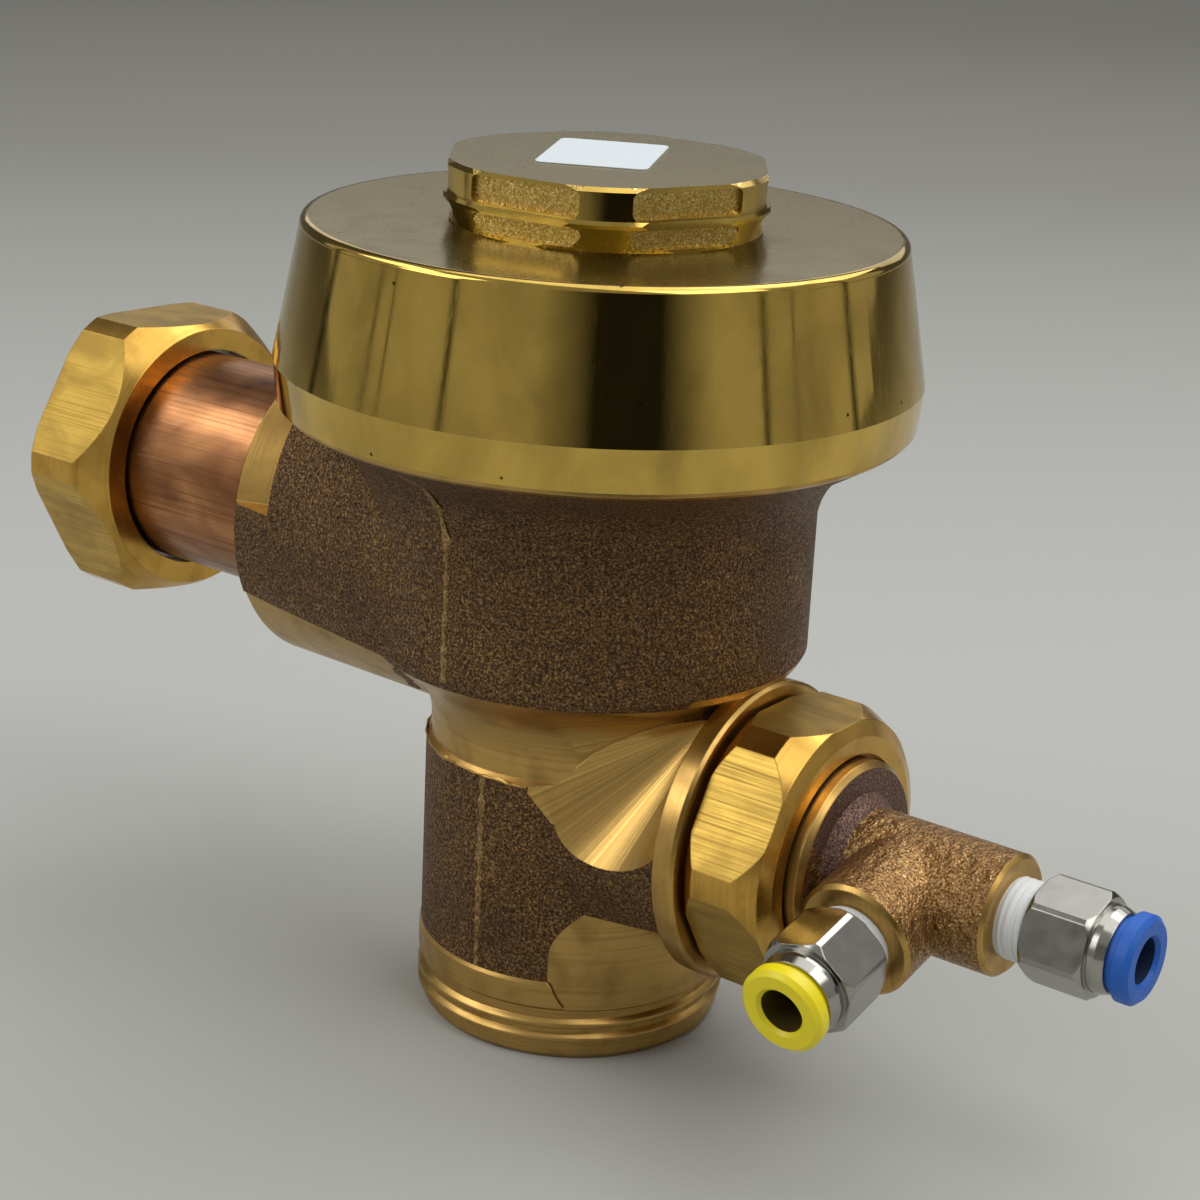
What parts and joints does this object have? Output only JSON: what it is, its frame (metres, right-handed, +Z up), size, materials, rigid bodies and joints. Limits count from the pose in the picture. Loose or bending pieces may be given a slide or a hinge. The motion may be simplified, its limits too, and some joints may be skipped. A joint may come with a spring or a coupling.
{
  "type": "flushometer",
  "caption": "Unplated hydraulic flush valve: cast bronze body with screwed hexagon-headed cover, inlet tail and coupling nut, and a tube-fed push-rod actuator.",
  "frame": {"origin": "centre of the outlet's mouth, on the outlet rim the valve stands on", "axes": "+Z up the valve axis to the cover, -X out of the inlet, +X out of the actuator"},
  "size_m": [0.1935, 0.0952, 0.1324],
  "materials": {
    "cast_bronze": "rough sand cast, partly turned",
    "polished_brass": "polished",
    "drawn_brass": "satin, drawn bar",
    "copper_alloy": "satin tube",
    "nickel_plate": "satin nickel",
    "ptfe_tape": "matte wrap",
    "yellow_plastic": "moulded",
    "blue_plastic": "moulded",
    "paper": "blank paper",
    "black_rubber": "matte",
    "spring_steel": "bright",
    "moulded_guide": "moulded"
  },
  "bodies": {
    "valve": {"valve_body": "cast_bronze", "outer_cover": "polished_brass", "cover_label": "paper", "inside_cover": "moulded_guide", "diaphragm": "black_rubber", "inlet_tail": "copper_alloy", "tail_o_ring": "black_rubber", "tail_snap_ring": "spring_steel", "actuator_nut": "drawn_brass", "plunger_bushing": "drawn_brass", "actuator_gasket": "black_rubber", "actuator_body": "cast_bronze", "rod_seal": "black_rubber", "fitting_front": "nickel_plate", "thread_tape_front": "ptfe_tape", "tube_seal_front": "black_rubber", "gripper_front": "spring_steel", "fitting_side": "nickel_plate", "thread_tape_side": "ptfe_tape", "tube_seal_side": "black_rubber", "gripper_side": "spring_steel"},
    "inlet_nut": {"inlet_nut": "drawn_brass"},
    "collet_front": {"collet_front": "yellow_plastic"},
    "collet_side": {"collet_side": "blue_plastic"},
    "push_rod": {"plunger": "drawn_brass", "piston_seal": "black_rubber"},
    "flush": {"flush_guide": "moulded_guide"},
    "relief": {"relief_valve": "drawn_brass"}
  },
  "joints": [
    {"name": "inlet_nut_spin", "type": "hinge", "parent": "valve", "child": "inlet_nut", "pos_m": [-0.089, 0, 0.0708], "axis": [1, 0, 0], "continuous": true},
    {"name": "collet_front_press", "type": "slide", "parent": "valve", "child": "collet_front", "axis": [0, 0.9744, 0.225], "range_m": [0, 0.0012], "stiffness_N_per_m": 400},
    {"name": "collet_side_press", "type": "slide", "parent": "valve", "child": "collet_side", "axis": [-1, 0, 0], "range_m": [0, 0.0012], "stiffness_N_per_m": 400},
    {"name": "push_rod_stroke", "type": "slide", "parent": "valve", "child": "push_rod", "axis": [-1, 0, 0], "range_m": [0, 0.007], "stiffness_N_per_m": 400},
    {"name": "flush_lift", "type": "slide", "parent": "valve", "child": "flush", "axis": [0, 0, 1], "range_m": [0, 0.007], "deforming": ["diaphragm"]},
    {"name": "relief_tilt", "type": "hinge", "parent": "flush", "child": "relief", "pos_m": [0.0095, 0, 0.1004], "axis": [0, 1, 0], "range_deg": [0, 5.74]}
  ],
  "couplings": [
    {"joint": "relief_tilt", "follows": "push_rod_stroke", "rad_per_m": 14.286}
  ]
}
